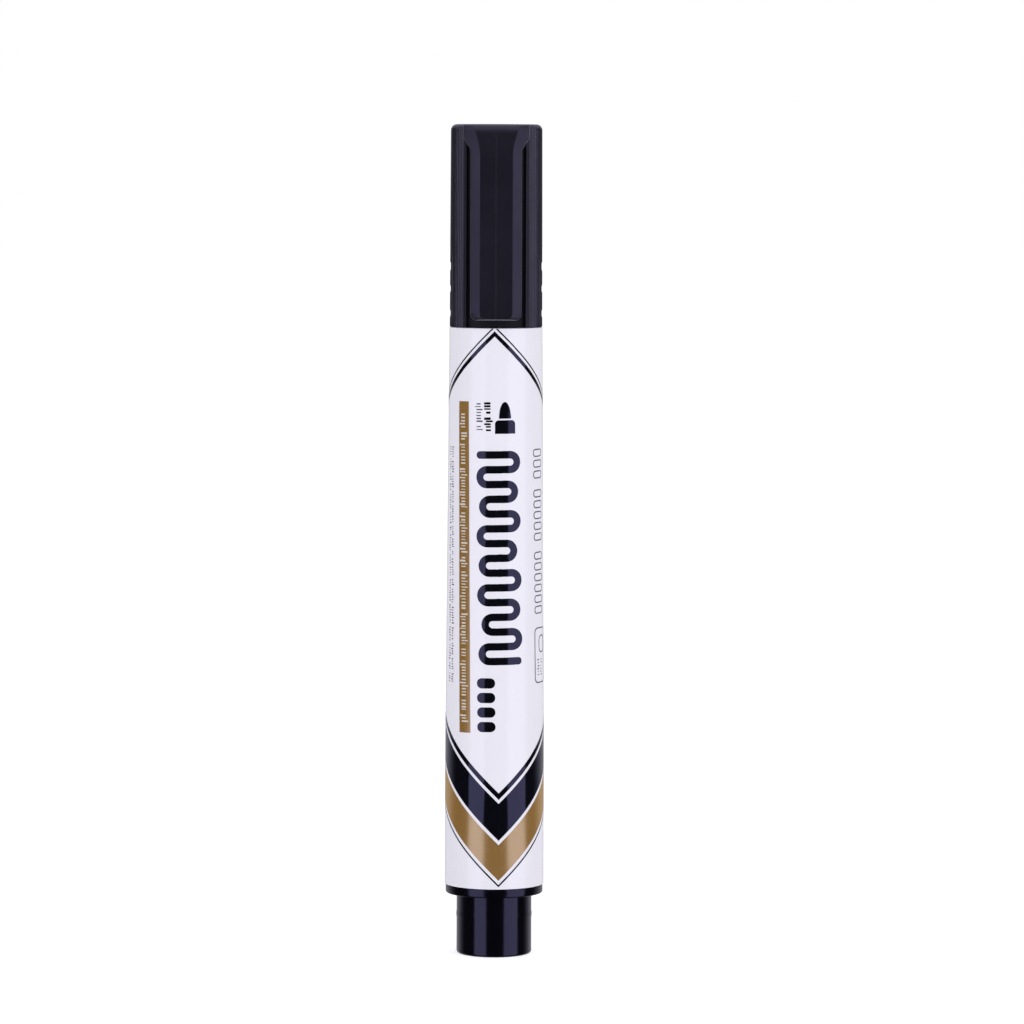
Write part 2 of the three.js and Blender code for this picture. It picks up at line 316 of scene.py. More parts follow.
barrel_low, barrel_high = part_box("barrel")
film_low, film_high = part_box("label_film")
barrel_rear = barrel_low.z / MM
barrel_front = barrel_high.z / MM
film_rear_radius = film_high.x / MM
film_front_radius = 7.735
taper_break = 42.7
film_break_radius = 8.2
film_thickness = 0.12
barrel_wall = 1.5
film_gap = 0.05


def film_radius(height):
    """Radius over the film: two straight tapers that meet below the middle."""
    if height < taper_break:
        share = (height - barrel_rear) / (taper_break - barrel_rear)
        return film_rear_radius + (film_break_radius - film_rear_radius) * share
    share = (height - taper_break) / (barrel_front - taper_break)
    return film_break_radius + (film_front_radius - film_break_radius) * share


def barrel_bore(height):
    return film_radius(height) - film_thickness - film_gap - barrel_wall


def tube(name, low, high, outer_inset, wall):
    """A tube that follows the barrel's taper, this far inside the film's surface."""
    heights = [low, taper_break, high]
    outside = [(film_radius(z) - outer_inset, z) for z in heights]
    inside = [(r - wall, z) for r, z in reversed(outside)]
    return turned(name, [*outside, *inside, outside[0]])


barrel = tube("barrel_tube", barrel_rear, barrel_front, film_thickness + film_gap, barrel_wall)
finish_edges(barrel, 0.12)
barrel.data.materials.append(moulded_plastic(
    "white_polypropylene", (0.8, 0.79, 0.84), (0.74, 0.73, 0.78), (0.28, 0.36)))
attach(barrel, "marker_body")
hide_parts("barrel")

# ---- label film ----
# Thin white plastic sleeve, printed flat, wrapped round the barrel and joined along the back
# with a narrow overlap.
overlap_half_width = 1.1
overlap_rise = 0.04
overlap_margin = 1
label_film = tube("film_sleeve", film_low.z / MM, film_high.z / MM, 0, film_thickness)
bpy.ops.object.mode_set(mode="EDIT")
pick(lambda x, y, z: y > 0 and abs(x) < overlap_half_width
     and hypot(x, y) > film_radius(z) - film_thickness / 2
     and film_low.z / MM + overlap_margin < z < film_high.z / MM - overlap_margin, "faces")
bpy.ops.mesh.extrude_region_shrink_fatten(
    TRANSFORM_OT_shrink_fatten={"value": overlap_rise * MM})
bpy.ops.object.mode_set(mode="OBJECT")
finish_edges(label_film, 0.02, corner=50)
film_material = bpy.data.materials.new("gloss_white_film")
tree, add = begin_nodes(film_material)
place = add("ShaderNodeTexCoord")
clouding = add("ShaderNodeTexNoise", Vector=place.outputs["Object"], Scale=55.0, Detail=3.0)
white = add("ShaderNodeValToRGB", Fac=clouding.outputs["Fac"])
white.color_ramp.elements[0].color = (0.775, 0.765, 0.80, 1)
white.color_ramp.elements[1].color = (0.80, 0.79, 0.825, 1)
haze = add("ShaderNodeMapRange", Value=clouding.outputs["Fac"], To_Min=0.06, To_Max=0.12)
stretched = add("ShaderNodeMapping", Vector=place.outputs["Object"], Scale=(1.0, 1.0, 0.12))
ripple = add("ShaderNodeTexNoise", Vector=stretched, Scale=420.0, Detail=2.0)
relief = add("ShaderNodeBump", Strength=0.05, Distance=0.0002, Height=ripple.outputs["Fac"])
shader = add("ShaderNodeBsdfPrincipled", Base_Color=white, Roughness=haze, Normal=relief)
add("ShaderNodeOutputMaterial", Surface=shader)
label_film.data.materials.append(film_material)
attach(label_film, "marker_body")
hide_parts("label_film")

# ---- print ----
# Four inks on the film: foil gold, black, white over the gold, and grey. Each is drawn flat,
# with the middle of the clip side at nought, and then bent round the film as a thin layer.
print_radius = 8.0
half_turn = pi * print_radius
column_width = 0.39
row_height = 4.27
ink_thickness = 0.01
ink_lift = 0.006
lift_over_gold = 0.022
spread_before_laying = 1.06
label_tilt = radians(0.79)
label_middle = 65.0


def start_artwork(name):
    """An empty flat sheet to draw on, left in edit mode."""
    bpy.ops.object.select_all(action="DESELECT")
    bpy.ops.mesh.primitive_plane_add(size=MM)
    sheet = bpy.context.object
    sheet.name = sheet.data.name = name
    bpy.ops.object.mode_set(mode="EDIT")
    bpy.ops.mesh.select_mode(type="VERT")
    bpy.ops.mesh.select_all(action="SELECT")
    bpy.ops.mesh.delete(type="VERT")
    return sheet


def plate(x_low, x_high, z_low, z_high, corner=0.0, steps=5):
    """A flat rectangle on the sheet, left selected, with rounded corners if wanted."""
    centre = Vector(((x_low + x_high) / 2, 0, (z_low + z_high) / 2)) * MM
    bpy.ops.mesh.select_all(action="DESELECT")
    bpy.ops.mesh.primitive_plane_add(size=MM, rotation=(pi / 2, 0, 0), location=centre)
    bpy.ops.transform.resize(value=(x_high - x_low, 1, z_high - z_low), center_override=centre)
    if corner:
        corner = min(corner, 0.49 * min(x_high - x_low, z_high - z_low))
        bpy.ops.mesh.bevel(offset=corner * MM, offset_type="OFFSET", segments=steps,
                           affect="VERTICES")


def outline_plate(x_low, x_high, z_low, z_high, corner, line):
    """A rounded rectangle drawn as a line of this width."""
    plate(x_low, x_high, z_low, z_high, corner)
    bpy.ops.mesh.inset(thickness=line * MM)
    bpy.ops.mesh.delete(type="FACE")


def chevron(apex_x, apex_z, depth, slope, reach):
    """Two slanted bars that meet at an apex. The slope is the rise for each millimetre out."""
    for side in (-1, 1):
        x_far = apex_x + side * reach
        plate(min(apex_x, x_far), max(apex_x, x_far), apex_z - depth, apex_z)
        bpy.ops.mesh.select_mode(type="VERT")
        sheet = bmesh.from_edit_mesh(bpy.context.object.data)
        for v in sheet.verts:
            v.select = v.select and abs(v.co.x / MM - x_far) < 0.001
        sheet.select_flush_mode()
        bpy.ops.transform.translate(value=(0, 0, slope * reach * MM))


def chevron_row(apex_x, apex_z, depth, slope):
    """The chevron at the front and its repeat at the back, meeting at the sides."""
    chevron(apex_x, apex_z, depth, slope, half_turn / 2)
    chevron(apex_x + half_turn, apex_z, depth, slope, half_turn / 2)


def tilt_selected():
    """Turns what is selected by the small angle at which the label block sits on the barrel."""
    bpy.ops.transform.rotate(value=label_tilt, orient_axis="Y",
                             center_override=(0, 0, label_middle * MM))


def tilt_label():
    """Turns all the artwork on the sheet by the label's small angle."""
    bpy.ops.mesh.select_all(action="SELECT")
    tilt_selected()


def tally(x_low, x_high, z_from, z_to, pitch, line, seed, gap_every=6):
    """A row of small bars in word-like groups down the label, in place of small print."""
    chance = random.Random(seed)
    z = z_from
    left = chance.randint(3, gap_every + 3)
    while z > z_to + pitch:
        if left == 0:
            left = chance.randint(2, gap_every + 3)
            z -= pitch
            continue
        low, high = chance.choice(((0, 0.72), (0, 1), (0.04, 0.68), (0, 0.7), (-0.25, 0.7)))
        width = x_high - x_low
        reach = line * chance.uniform(0.8, 1.5)
        plate(x_low + low * width, x_low + high * width, z - reach, z, line * 0.3, 2)
        left -= 1
        z -= pitch * chance.uniform(0.9, 1.1)


def wrap_artwork(sheet, material, lift=ink_lift):
    """Cuts the sheet into narrow columns, bends it round the film, lays it on and thickens it."""
    spots = [v.co / MM for v in bmesh.from_edit_mesh(sheet.data).verts]
    for axis, width in ((0, column_width), (2, row_height)):
        places = [spot[axis] for spot in spots]
        across = Vector([1.0 if side == axis else 0.0 for side in range(3)])
        for step in range(ceil(min(places) / width), ceil(max(places) / width)):
            bpy.ops.mesh.select_all(action="SELECT")
            bpy.ops.mesh.bisect(plane_co=across * step * width * MM, plane_no=across)
    bpy.ops.object.mode_set(mode="OBJECT")
    apply(sheet, "bend", "SIMPLE_DEFORM", deform_method="BEND", deform_axis="Z",
          angle=sheet.dimensions.x / (print_radius * MM))
    bpy.ops.object.mode_set(mode="EDIT")
    bpy.ops.mesh.select_all(action="SELECT")
    bpy.ops.transform.translate(value=(0, -print_radius * MM, 0))
    bpy.ops.transform.resize(value=(spread_before_laying, spread_before_laying, 1),
                             center_override=(0, 0, 0))
    bpy.ops.object.mode_set(mode="OBJECT")
    apply(sheet, "lay_on", "SHRINKWRAP", target=label_film, wrap_mode="OUTSIDE_SURFACE",
          offset=lift * MM)
    apply(sheet, "ink_layer", "SOLIDIFY", thickness=ink_thickness * MM, offset=1)
    bpy.ops.object.shade_smooth_by_angle(angle=radians(30))
    sheet.data.materials.append(material)
    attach(sheet, "marker_body")


def ink(name, colour, thin_colour, rough, **constants):
    """A printed ink whose colour thins a little in fine specks."""
    material = bpy.data.materials.new(name)
    tree, add = begin_nodes(material)
    place = add("ShaderNodeTexCoord")
    specks = add("ShaderNodeTexNoise", Vector=place.outputs["Object"], Scale=5200.0, Detail=4.0)
    spread = add("ShaderNodeMapRange", Value=specks.outputs["Fac"], From_Min=0.42, From_Max=0.72)
    mix = add("ShaderNodeMix", {"data_type": "RGBA"}, Factor=spread, A=(*colour, 1),
              B=(*thin_colour, 1))
    drift = add("ShaderNodeTexNoise", Vector=place.outputs["Object"], Scale=140.0)
    gloss = add("ShaderNodeMapRange", Value=drift.outputs["Fac"], To_Min=rough[0],
                To_Max=rough[1])
    shader = add("ShaderNodeBsdfPrincipled", Base_Color=mix, Roughness=gloss, **constants)
    add("ShaderNodeOutputMaterial", Surface=shader)
    return material


low_apex = 0.72
low_slope = 1.03
top_apex = -0.2
top_slope = -0.97
print_edge = 0.01

gold_print = start_artwork("gold_print")
chevron_row(low_apex, 19.14, 5.92, low_slope)
plate(-6.62, -4.42, 37.8, 92.73)
tilt_selected()
wrap_artwork(gold_print, ink("gold_foil", (0.3, 0.148, 0.024), (0.36, 0.185, 0.04),
                             (0.2, 0.27), IOR=3.6, Specular_Tint=(1, 0.87, 0.62, 1)))

chevron_print = start_artwork("black_chevrons")
chevron_row(low_apex, 27.78, 1.08, low_slope)
chevron_row(low_apex, 26.02, 6.14, low_slope)
chevron_row(low_apex, 12.5, 0.36, low_slope)
chevron_row(top_apex, 104.3, 0.87, top_slope)
chevron_row(top_apex, 105.2, 0.33, top_slope)
bpy.ops.mesh.select_all(action="SELECT")
bpy.ops.mesh.bisect(plane_co=(0, 0, film_high.z - print_edge * MM), plane_no=(0, 0, 1),
                    clear_outer=True)
black_ink = ink("black_ink", (0.0012, 0.0012, 0.002), (0.004, 0.004, 0.007), (0.07, 0.13),
                IOR=1.7, Specular_Tint=(0.58, 0.58, 1, 1))
wrap_artwork(chevron_print, black_ink)

# The nib sign, two lines of small bars, the broad scribble and its row of pills.
black_print = start_artwork("black_print")
dome_foot = Vector((1.96, 0, 89.87)) * MM
dome_half_width = 1.03
dome_height = 2.75
block_top = 89.6
block_corner = 0.62
bpy.ops.mesh.primitive_circle_add(vertices=48, radius=MM, fill_type="NGON",
                                  rotation=(pi / 2, 0, 0), location=dome_foot)
bpy.ops.transform.resize(value=(dome_half_width, 1, dome_height), center_override=dome_foot)
bpy.ops.mesh.bisect(plane_co=dome_foot, plane_no=(0, 0, 1), clear_inner=True)
plate(0.23, 3.71, 87.37, block_top)
pick(lambda x, y, z: abs(z - block_top) < 0.1)
bpy.ops.mesh.bevel(offset=block_corner * MM, segments=6, affect="VERTICES")
tally(-1.3, -0.12, 92.6, 87.4, 0.5, 0.3, 3)
stroke = 1.25
runs = 15
scribble_top = 84.53
scribble_bottom = 49.09
scribble_start = -2.97
scribble_end = 4.4
run_pitch = (scribble_top - scribble_bottom - stroke) / (runs - 1)
left_turns = (-1.2, -0.75, -1.25, -0.9, -1.2, -0.5, -1.05)
right_turns = (2.75, 2.3, 2.7, 2.0, 2.75, 2.45, 2.75)
run_z = scribble_top - stroke / 2
run_x = right_turns[0]
plate(scribble_start, run_x, run_z - stroke / 2, run_z + stroke / 2)


def pick_selected(test):
    """Keeps selected only those selected vertices whose place in millimetres passes."""
    mesh = bmesh.from_edit_mesh(bpy.context.object.data)
    for v in mesh.verts:
        v.select = v.select and test(*(v.co / MM))
    mesh.select_flush_mode()
    bmesh.update_edit_mesh(bpy.context.object.data)


pick_selected(lambda x, y, z: abs(x - run_x) < 0.001)
turns = [x for pair in zip(right_turns, left_turns) for x in pair]
for count, turn_x in enumerate(turns):
    side = 1 if count % 2 == 0 else -1
    bpy.ops.mesh.spin(steps=12, angle=-side * pi, axis=(0, 1, 0),
                      center=(turn_x * MM, 0, (run_z - run_pitch / 2) * MM))
    run_z -= run_pitch
    run_x = turns[count + 1] if count + 1 < len(turns) else scribble_end
    bpy.ops.mesh.extrude_edges_move(
        TRANSFORM_OT_translate={"value": ((run_x - turn_x) * MM, 0, 0)})
pick(lambda x, y, z: abs(x - scribble_end) < 0.001 and z < scribble_bottom + 2 * stroke)
bpy.ops.mesh.bevel(offset=stroke * 0.49 * MM, segments=8, affect="VERTICES")
pick(lambda x, y, z: abs(x - scribble_start) < 0.001 and z > scribble_top - 2 * stroke)
bpy.ops.mesh.bevel(offset=stroke * 0.49 * MM, segments=8, affect="VERTICES")
top_pill = 46.94
pill_pitch = 2.42
pill_height = 1.7
for pill in range(4):
    pill_top = top_pill - pill * pill_pitch
    plate(-3.18, -0.18, pill_top - pill_height, pill_top, 0.8)
tilt_label()
wrap_artwork(black_print, black_ink)

# Hairline capsules stand for the name of the product, and a plain frame for its badge.
grey_print = start_artwork("grey_print")
capsule_top = 84.6
capsule_height = 1.32
capsule_pitch = 1.8
group_gap = 1.35
for group in (3, 5, 6):
    for capsule in range(group):
        outline_plate(7.5, 10.35, capsule_top - capsule_height, capsule_top, 0.6, 0.19)
        capsule_top -= capsule_pitch
    capsule_top -= group_gap
outline_plate(7.4, 11.3, 45.6, 54.9, 0.9, 0.2)
outline_plate(8.7, 10.9, 50.6, 53.6, 1.0, 0.2)
tally(8.3, 8.9, 49.6, 46.2, 0.5, 0.14, 11)
tally(9.4, 10.0, 49.6, 46.2, 0.5, 0.14, 12)
tally(-2.95, -1.85, 92.45, 87.44, 0.46, 0.17, 5)
tally(-8.75, -8.15, 85.15, 45.6, 0.42, 0.15, 7)
tally(-9.65, -9.1, 85.15, 45.6, 0.42, 0.15, 8)
back_print_start = half_turn + 3
back_line_pitch = 1.5
back_line_width = 0.75
for line_of_print in range(4):
    print_x = back_print_start - line_of_print * back_line_pitch
    tally(print_x - back_line_width, print_x, 86, 58 + line_of_print * 2, 0.5, 0.16,
          40 + line_of_print)
tilt_label()
wrap_artwork(grey_print,
             ink("grey_ink", (0.05, 0.05, 0.075), (0.09, 0.09, 0.12), (0.1, 0.18)))

white_print = start_artwork("white_print")
tally(-6.12, -4.82, 90.7, 39.2, 0.5, 0.2, 21, 12)
tilt_label()
wrap_artwork(white_print,
             ink("white_ink", (0.66, 0.6, 0.52), (0.5, 0.42, 0.32), (0.14, 0.22)),
             lift_over_gold)

# ---- rear plug ----
# Black gloss polypropylene. Its skirt is pressed into the barrel up to the collar, and its stub,
# with a low bead round it, takes the cap when the marker is in use.
stub_radius = 6.275
stub_top = 10.2
bead_rise = 0.06
bead_half = 0.6
stub_bead = 6.6
recess_radius = 3.6
recess_depth = 0.32
gate_radius = 0.9
gate_rise = 0.1
collar_radius = 8.13
skirt_top = 19.0
plug_cavity = 5.025
plug_floor = 1.4


def bead(radius, height):
    """Steps for the low round bead that a cap snaps over."""
    shares = (-1, -0.7, -0.35, 0, 0.35, 0.7, 1)
    return [(radius + bead_rise * (1 - share * share), height + bead_half * share)
            for share in shares]


def corner_steps(radius, height, across, up, steps=4):
    """A quarter round from (radius, height) that goes in by across and on by up."""
    turn = [pi / 2 * step / steps for step in range(steps + 1)]
    return [(radius - across * (1 - cos(a)), height + up * sin(a)) for a in turn]


def inside_barrel(height):
    return barrel_bore(height) - film_gap


rear_plug = turned("rear_stub_plug", [
    (0, recess_depth - gate_rise), (gate_radius, recess_depth - gate_rise),
    (gate_radius + 0.15, recess_depth), (recess_radius, recess_depth),
    (recess_radius + 0.2, 0.0),
    *reversed(corner_steps(stub_radius, 0.45, 0.45, -0.45)),
    *bead(stub_radius, stub_bead),
    (stub_radius, stub_top - 0.12), (stub_radius + 0.12, stub_top),
    *reversed(corner_steps(collar_radius, stub_top + 0.3, 0.3, -0.3)),
    *corner_steps(collar_radius, barrel_rear - 0.15, 0.15, 0.15, 2),
    (inside_barrel(barrel_rear), barrel_rear),
    (inside_barrel(skirt_top - 0.4), skirt_top - 0.4),
    (inside_barrel(skirt_top) - 0.4, skirt_top),
    (plug_cavity, skirt_top), (plug_cavity, plug_floor), (0, plug_floor),
])
finish_edges(rear_plug, 0)
gloss_black = moulded_plastic("black_gloss_polypropylene", (0.0009, 0.0007, 0.0015),
                              (0.0035, 0.003, 0.0055), (0.12, 0.18), bump=0.05, IOR=1.65,
                              Specular_Tint=(0.6, 0.59, 1, 1))
rear_plug.data.materials.append(gloss_black)
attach(rear_plug, "marker_body")
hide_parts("rear_plug")

# ---- ink reservoir ----
# Bundled polyester fibre that holds the ink, with a hole in its front end for the nib's tail.
reservoir_low, reservoir_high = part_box("ink_reservoir")
reservoir_radius = reservoir_high.x / MM
nib_hole = 2.25
nib_hole_depth = 7.5
nib_hole_floor = reservoir_high.z / MM - nib_hole_depth
reservoir = turned("fibre_reservoir", [
    (0, reservoir_low.z / MM), (reservoir_radius, reservoir_low.z / MM),
    (reservoir_radius, reservoir_high.z / MM), (nib_hole, reservoir_high.z / MM),
    (nib_hole, nib_hole_floor), (0, nib_hole_floor),
])
finish_edges(reservoir, 0.2)


def fibre(name, dry, soaked, strand_scale, rough):
    """Bundled fibres that run along the marker, in two tones of ink."""
    material = bpy.data.materials.new(name)
    tree, add = begin_nodes(material)
    place = add("ShaderNodeTexCoord")
    along = add("ShaderNodeMapping", Vector=place.outputs["Object"], Scale=(1.0, 1.0, 0.06))
    strands = add("ShaderNodeTexNoise", Vector=along, Scale=strand_scale, Detail=4.0)
    soak = add("ShaderNodeTexNoise", Vector=place.outputs["Object"], Scale=300.0, Detail=3.0)
    wetness = add("ShaderNodeMath", {"operation": "ADD"})
    tree.links.new(strands.outputs["Fac"], wetness.inputs[0])
    tree.links.new(soak.outputs["Fac"], wetness.inputs[1])
    tone = add("ShaderNodeMapRange", Value=wetness, From_Min=0.8, From_Max=1.2)
    mix = add("ShaderNodeMix", {"data_type": "RGBA"}, Factor=tone, A=(*dry, 1), B=(*soaked, 1))
    relief = add("ShaderNodeBump", Strength=0.6, Distance=0.00006, Height=strands.outputs["Fac"])
    shader = add("ShaderNodeBsdfPrincipled", Base_Color=mix, Roughness=rough, Normal=relief)
    add("ShaderNodeOutputMaterial", Surface=shader)
    return material


reservoir.data.materials.append(fibre("inked_polyester_fibre", (0.08, 0.08, 0.09),
                                      (0.02, 0.02, 0.028), 6000.0, 0.85))
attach(reservoir, "marker_body")
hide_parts("ink_reservoir")

# ---- reservoir wrap ----
# Clear film sleeve shrunk round the fibre bundle, with its ends left open.
wrap_low, wrap_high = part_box("reservoir_wrap")
wrap_radius = wrap_high.x / MM
wrap_thickness = 0.15
wrap_inner = wrap_radius - wrap_thickness
wrap = turned("reservoir_sleeve", [
    (wrap_radius, wrap_low.z / MM), (wrap_radius, wrap_high.z / MM),
    (wrap_inner, wrap_high.z / MM), (wrap_inner, wrap_low.z / MM),
    (wrap_radius, wrap_low.z / MM),
])
finish_edges(wrap, 0.03)
clear_film = bpy.data.materials.new("clear_film")
tree, add = begin_nodes(clear_film)
place = add("ShaderNodeTexCoord")
creases = add("ShaderNodeTexNoise", Vector=place.outputs["Object"], Scale=700.0, Detail=3.0)
relief = add("ShaderNodeBump", Strength=0.3, Distance=0.00005, Height=creases.outputs["Fac"])
haze = add("ShaderNodeMapRange", Value=creases.outputs["Fac"], To_Min=0.08, To_Max=0.25)
shader = add("ShaderNodeBsdfPrincipled", Base_Color=(0.9, 0.93, 0.95, 1), Roughness=haze,
             Normal=relief, Transmission_Weight=0.85, IOR=1.5)
add("ShaderNodeOutputMaterial", Surface=shader)
wrap.data.materials.append(clear_film)
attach(wrap, "marker_body")
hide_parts("reservoir_wrap")

# ---- front section ----
# Black gloss polypropylene nib holder: a plug pressed into the barrel, a neck with a bead for
# the cap, a smooth land where the inner cap seals, and a tapered nose round the nib.
front_low, front_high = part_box("front_section")
front_plug_end = front_low.z / MM
nose_tip = front_high.z / MM
neck_length = 10
neck_top = barrel_front + neck_length
neck_bead = barrel_front + 4
land_radius = 4.25
land_shoulder = 2
land_length = 5
land_bottom = neck_top + land_shoulder
land_top = land_bottom + land_length
nose_radius = 3.0
holder_cavity = 4.765
holder_roof = 1.5
holder_floor = neck_top - holder_roof
holder_start = (inside_barrel(front_plug_end) - 0.4, front_plug_end)
front_section = turned("nib_holder", [
    holder_start,
    (inside_barrel(front_plug_end + 0.4), front_plug_end + 0.4),
    (inside_barrel(barrel_front), barrel_front),
    (stub_radius + 0.1, barrel_front), (stub_radius, barrel_front + 0.1),
    *bead(stub_radius, neck_bead),
    *corner_steps(stub_radius, neck_top - 0.35, 0.3, 0.4),
    (land_radius + 0.25, land_bottom - 0.05), (land_radius, land_bottom + 0.25),
    (land_radius, land_top - 0.3), (land_radius - 0.06, land_top),
    (land_radius - 0.22, land_top + 0.6),
    *corner_steps(nose_radius + 0.05, nose_tip - 0.25, 0.25, 0.25),
    (nib_hole + 0.1, nose_tip), (nib_hole, nose_tip - 0.15),
    (nib_hole, holder_floor), (holder_cavity, holder_floor),
    (holder_cavity, front_plug_end), holder_start,
])
finish_edges(front_section, 0)
front_section.data.materials.append(gloss_black)
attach(front_section, "marker_body")
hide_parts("front_section")

# ---- nib ----
# Pressed acrylic fibre rod, 4.4 mm across, ground to a bullet tip and stained with ink.
nib_low, nib_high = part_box("nib")
nib_radius = nib_high.x / MM
nib_tip = nib_high.z / MM
nib_tail = nib_low.z / MM
bullet_length = 3.6
bullet = corner_steps(nib_radius, nib_tip - bullet_length, nib_radius, bullet_length, 12)
nib = turned("bullet_nib", [
    (0, nib_tail), (nib_radius - 0.4, nib_tail), (nib_radius, nib_tail + 0.4),
    *bullet[:-1], (0, nib_tip),
], sides=96)
finish_edges(nib, 0)
nib.data.materials.append(fibre("stained_acrylic_fibre", (0.035, 0.034, 0.042),
                                (0.009, 0.009, 0.014), 9000.0, 0.8))
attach(nib, "marker_body")
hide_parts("nib")

# ---- inner cap ----
# Milky polyethylene cup inside the cap. Its lip seals on the land behind the nib, and its
# flange holds it in the cap's bore.
liner_low, liner_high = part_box("inner_cap")
liner_bottom = liner_low.z / MM
liner_top = liner_high.z / MM
flange_radius = liner_high.x / MM
flange_thickness = 1.6
flange_top = liner_bottom + flange_thickness
liner_radius = 5.1
liner_bore = 4.3
liner_roof = 0.8
liner_ceiling = liner_top - liner_roof
inner_cap = turned("liner_cup", [
    (0, liner_ceiling), (liner_bore - 0.5, liner_ceiling), (liner_bore, liner_ceiling - 0.5),
    (liner_bore, liner_bottom + 0.35), (liner_bore + 0.35, liner_bottom),
    (flange_radius - 0.2, liner_bottom), (flange_radius, liner_bottom + 0.2),
    (flange_radius, flange_top - 0.2), (flange_radius - 0.2, flange_top),
    (liner_radius + 0.15, flange_top), (liner_radius, flange_top + 0.15),
    *corner_steps(liner_radius, liner_top - 0.5, 0.5, 0.5), (0, liner_top),
])
finish_edges(inner_cap, 0)
inner_cap.data.materials.append(moulded_plastic(
    "milky_polyethylene", (0.72, 0.74, 0.76), (0.66, 0.68, 0.7), (0.4, 0.55), bump=0.1,
    Subsurface_Weight=0.2, Subsurface_Scale=0.002))
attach(inner_cap, "liner")
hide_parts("inner_cap")

# ---- cap shell ----
# Satin black polypropylene cup. Fine flutes run up its sides and over the rounded top edge,
# three shallow grip dents sit on each flank, and a pocket is sunk behind the clip.
cap_low, cap_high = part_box("cap_shell")
cap_mouth = cap_low.z / MM
cap_top = cap_high.z / MM
mouth_radius = 7.695
top_radius = 7.57
cap_bore = 6.4
cap_step = flange_top + 0.05
upper_bore = 5.8
cap_ceiling = cap_top - 1.5
cap_sides = 400
flute_depth = 0.1
flute_from = radians(45)
pocket_half = 4.9
pocket_floor = 7.05
pocket_top = 135.7
dents = ((114.0, 115.6), (110.4, 111.8), (106.3, 107.7))
dent_depth = 0.11
dent_slope = 0.35
dent_half_widths = (2.4, 1.7)


def cap_radius(height):
    share = (height - cap_mouth) / (cap_top - cap_mouth)
    return mouth_radius + (top_radius - mouth_radius) * share


dent_steps = sorted(z for low, high in dents
                    for z in (low, low + dent_slope, high - dent_slope, high))
side_steps = [cap_mouth + 0.06, *dent_steps, *range(118, 134, 3), 135.5]
cap_shell = turned("cap_cup", [
    (0, cap_ceiling), (upper_bore, cap_ceiling), (upper_bore, cap_step),
    (cap_bore, cap_step), (cap_bore, cap_mouth + 0.3), (cap_bore + 0.3, cap_mouth),
    (mouth_radius - 0.06, cap_mouth),
    *[(cap_radius(z), z) for z in side_steps],
    *corner_steps(top_radius, cap_top - 1, 1, 1, 7),
    (3.4, cap_top), (3.1, cap_top - 0.12), (1.0, cap_top - 0.12), (0.85, cap_top - 0.04),
    (0, cap_top - 0.04),
], sides=cap_sides)
bpy.ops.object.mode_set(mode="EDIT")


def from_clip(x, y):
    """The angle round the cap from the middle of the clip side."""
    return abs(atan2(x, -y))


def flute_phase(x, y):
    return round(degrees(from_clip(x, y)) / (360 / cap_sides)) % 4


def fluted(phases):
    return lambda x, y, z: (hypot(x, y) > top_radius - 1.01 and from_clip(x, y) > flute_from
                            and z > cap_mouth - 0.01 and flute_phase(x, y) in phases)


for phases, depth in (((2,), flute_depth), ((1, 3), flute_depth / 2)):
    pick(fluted(phases))
    share = 1 - depth / top_radius
    bpy.ops.transform.resize(value=(share, share, 1), center_override=(0, 0, 0))
for low, high in dents:
    for half_width in dent_half_widths:
        pick(lambda x, y, z: low + 0.01 < z < high - 0.01 and abs(y) < half_width
             and hypot(x, y) > top_radius - 0.4)
        share = 1 - dent_depth / 2 / top_radius
        bpy.ops.transform.resize(value=(share, share, 1), center_override=(0, 0, 0))
bpy.ops.object.mode_set(mode="OBJECT")

cutter = turned("pocket_cutter", [
    (pocket_floor, cap_mouth - 1), (10, cap_mouth - 1), (10, pocket_top + 0.5),
    (pocket_floor + 0.6, pocket_top + 0.5), (pocket_floor, pocket_top - 0.2),
    (pocket_floor, cap_mouth - 1),
], sides=180)
bpy.ops.object.mode_set(mode="EDIT")
for plane_co, plane_no in (((pocket_half * MM, 0, 0), (1, 0, 0)),
                           ((-pocket_half * MM, 0, 0), (-1, 0, 0)), ((0, 0, 0), (0, 1, 0))):
    bpy.ops.mesh.select_all(action="SELECT")
    bpy.ops.mesh.bisect(plane_co=plane_co, plane_no=plane_no, use_fill=True, clear_outer=True)
bpy.ops.mesh.select_all(action="SELECT")
bpy.ops.mesh.normals_make_consistent(inside=False)
bpy.ops.object.mode_set(mode="OBJECT")
apply(cap_shell, "pocket", "BOOLEAN", operation="DIFFERENCE", object=cutter, solver="EXACT")
bpy.data.objects.remove(cutter)
finish_edges(cap_shell, 0, smooth=42)
satin_black = moulded_plastic("black_satin_polypropylene", (0.0044, 0.004, 0.0064),
                              (0.011, 0.01, 0.015), (0.34, 0.44), grain=12000.0, bump=0.2,
                              IOR=1.65, Specular_Tint=(0.74, 0.69, 1, 1), Sheen_Weight=0.42,
                              Sheen_Roughness=0.4, Sheen_Tint=(0.85, 0.8, 1, 1))
# A duller copy of the cap's plastic for the pocket's floor and sides: partly the mould's matt
# finish, and partly painted shade, its weak reflection darkening the recess under the clip.
pocket_matt_shade_black = moulded_plastic("pocket_black_polypropylene", (0.007, 0.0065, 0.012),
                               (0.011, 0.01, 0.016), (0.6, 0.7), grain=9000.0, bump=0.3,
                               IOR=1.35)
cap_shell.data.materials.append(satin_black)
cap_shell.data.materials.append(pocket_matt_shade_black)
# The pocket's floor and sides take the duller copy, which paints shade into the recess.
for face in cap_shell.data.polygons:
    x, y, z = face.center / MM
    on_floor = abs(hypot(x, y) - pocket_floor) < 0.03
    on_side = abs(abs(x) - pocket_half) < 0.01
    if y < 0 and abs(x) < pocket_half + 0.01 and (on_floor or on_side):
        face.material_index = 1
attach(cap_shell, "cap")
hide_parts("cap_shell")
